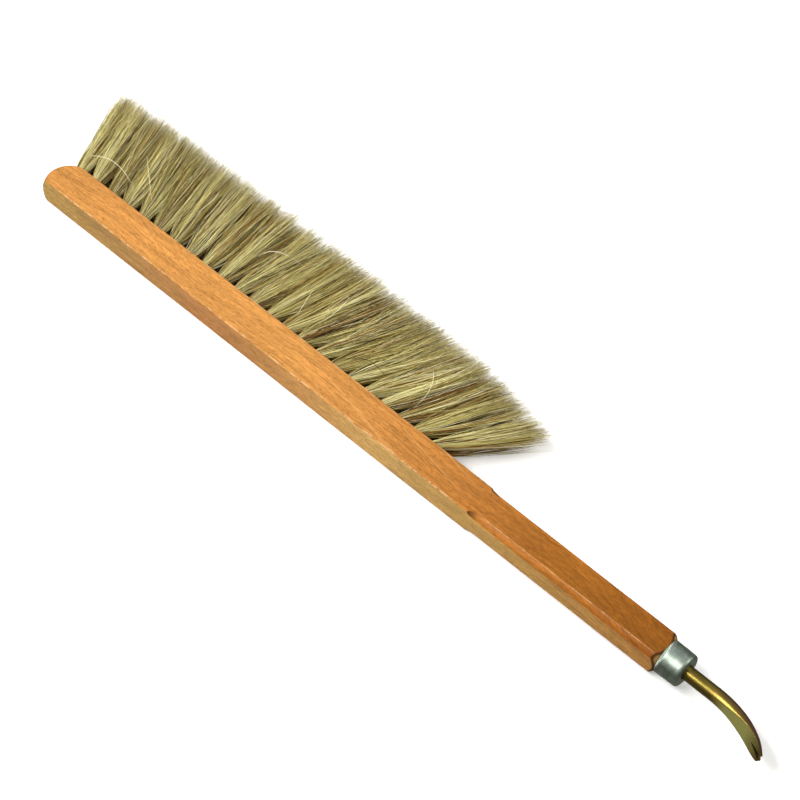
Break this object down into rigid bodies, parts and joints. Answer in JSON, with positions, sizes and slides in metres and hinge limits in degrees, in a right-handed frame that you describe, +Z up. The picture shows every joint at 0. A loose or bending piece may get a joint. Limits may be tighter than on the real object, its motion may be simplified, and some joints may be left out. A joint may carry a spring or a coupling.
{
  "type": "bee brush",
  "caption": "Long wooden bee brush with two rows of bristle tufts on one narrow face and a bent, notched nail claw in a ferrule at the handle end.",
  "frame": {"origin": "on the wide side face the brush lies on, in the middle of the bar's width, at the shoulder between head and handle", "axes": "+X along the brush from the rounded tip to the claw, +Y the way the bristles stand, +Z up through the bar's thickness"},
  "size_m": [0.454, 0.0759, 0.0176],
  "materials": {
    "hardwood": "oiled reddish-orange hardwood with fine dark pores along the grain",
    "ferrule_zinc": "grey-green zinc plated sheet steel, slightly dull",
    "claw_steel": "yellow passivated steel, glossy with a faint pink and green tint",
    "horsehair": "undyed blond horsehair, satin"
  },
  "bodies": {
    "root": {"wood_body": "hardwood", "ferrule": "ferrule_zinc", "nail_claw": "claw_steel", "tuft_near_01": "horsehair", "tuft_near_02": "horsehair", "tuft_near_03": "horsehair", "tuft_near_04": "horsehair", "tuft_near_05": "horsehair", "tuft_near_06": "horsehair", "tuft_near_07": "horsehair", "tuft_near_08": "horsehair", "tuft_near_09": "horsehair", "tuft_near_10": "horsehair", "tuft_near_11": "horsehair", "tuft_near_12": "horsehair", "tuft_near_13": "horsehair", "tuft_near_14": "horsehair", "tuft_near_15": "horsehair", "tuft_near_16": "horsehair", "tuft_near_17": "horsehair", "tuft_near_18": "horsehair", "tuft_near_19": "horsehair", "tuft_near_20": "horsehair", "tuft_near_21": "horsehair", "tuft_near_22": "horsehair", "tuft_near_23": "horsehair", "tuft_far_01": "horsehair", "tuft_far_02": "horsehair", "tuft_far_03": "horsehair", "tuft_far_04": "horsehair", "tuft_far_05": "horsehair", "tuft_far_06": "horsehair", "tuft_far_07": "horsehair", "tuft_far_08": "horsehair", "tuft_far_09": "horsehair", "tuft_far_10": "horsehair", "tuft_far_11": "horsehair", "tuft_far_12": "horsehair", "tuft_far_13": "horsehair", "tuft_far_14": "horsehair", "tuft_far_15": "horsehair", "tuft_far_16": "horsehair", "tuft_far_17": "horsehair", "tuft_far_18": "horsehair", "tuft_far_19": "horsehair", "tuft_far_20": "horsehair", "tuft_far_21": "horsehair", "tuft_far_22": "horsehair", "tuft_far_23": "horsehair"}
  },
  "joints": []
}
